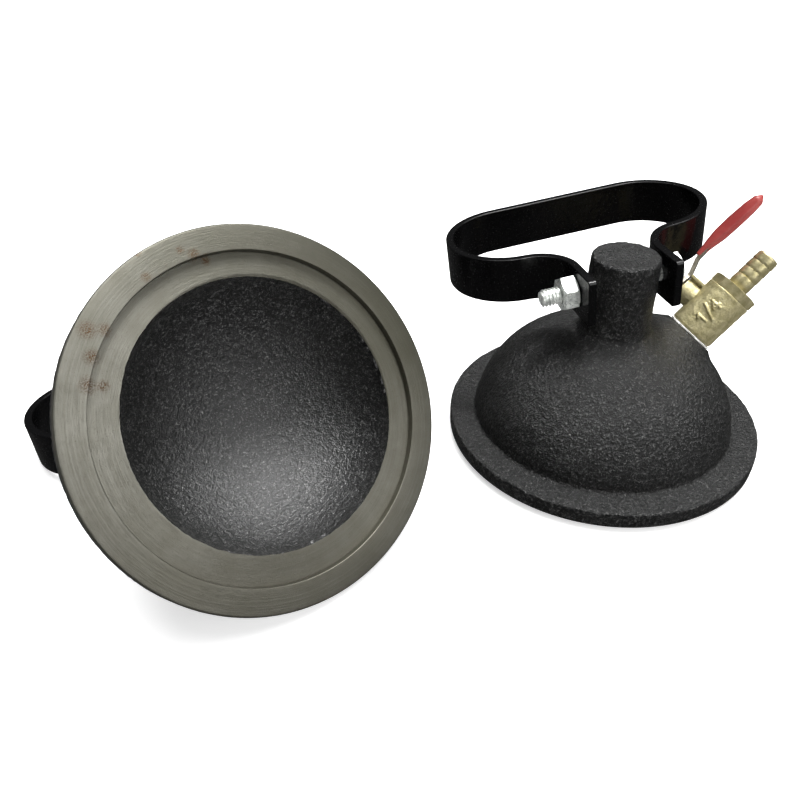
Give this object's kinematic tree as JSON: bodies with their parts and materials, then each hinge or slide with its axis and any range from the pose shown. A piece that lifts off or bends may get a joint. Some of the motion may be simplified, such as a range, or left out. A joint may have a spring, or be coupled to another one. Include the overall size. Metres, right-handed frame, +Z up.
{
  "type": "magdeburg hemisphere pair",
  "caption": "Two cast-iron half spheres with flat flanges and hinged bar handles; one stands mouth down with a ball valve and hose barb, the other lies open beside it.",
  "frame": {"origin": "centre of the lower rest face of hemisphere B, on the floor", "axes": "+Z up, +X along the row of the two from hemisphere A to hemisphere B, +Y away from the open mouth of hemisphere A"},
  "size_m": [0.2866, 0.1737, 0.1007],
  "materials": {
    "cast_black": "sandy black paint outside and in the bowl, turned bare iron on the joint face",
    "bar_black": "smooth glossy black paint",
    "zinc": "bright zinc plating",
    "brass_cast": "cast brass, matt olive yellow, raised size figures",
    "brass_turned": "turned brass",
    "tape": "white thread tape",
    "ptfe": "white",
    "ball_chrome": "polished",
    "stem_steel": "turned",
    "lever_plate": "pressed plate, dull plating",
    "sleeve": "soft red vinyl"
  },
  "bodies": {
    "hemisphere_a_body": {"hemisphere_a": "cast_black"},
    "handle_a_body": {"handle_a": "bar_black", "pivot_bolt_a": "zinc", "pivot_nut_a": "zinc"},
    "hemisphere_b_body": {"hemisphere_b": "cast_black", "thread_tape": "tape", "valve_body": "brass_cast", "seat_rings": "ptfe", "thrust_washer": "ptfe", "stem_packing": "ptfe", "end_gasket": "ptfe", "hose_barb": "brass_turned"},
    "handle_b_body": {"handle_b": "bar_black", "pivot_bolt_b": "zinc", "pivot_nut_b": "zinc"},
    "lever_body": {"stem": "stem_steel", "ball": "ball_chrome", "lever": "lever_plate", "lever_sleeve": "sleeve", "lever_nut": "zinc"}
  },
  "joints": [
    {"name": "handle_a_swing", "type": "hinge", "parent": "hemisphere_a_body", "child": "handle_a_body", "pos_m": [-0.15401, -0.01725, 0.01493], "axis": [0.7627, 0.6468, 0], "range_deg": [-152, 94]},
    {"name": "hemisphere_b_lift", "type": "slide", "parent": "hemisphere_a_body", "child": "hemisphere_b_body", "axis": [0, 0, 1], "range_m": [0, 0.12]},
    {"name": "handle_b_swing", "type": "hinge", "parent": "hemisphere_b_body", "child": "handle_b_body", "pos_m": [0, 0, 0.0661], "axis": [0.9735, 0.1936, 0.1219], "range_deg": [-9, 212]},
    {"name": "valve_lever_turn", "type": "hinge", "parent": "hemisphere_b_body", "child": "lever_body", "pos_m": [0.03859, 0.00768, 0.04743], "axis": [-0.6223, 0.6573, 0.4251], "range_deg": [0, 90]}
  ]
}
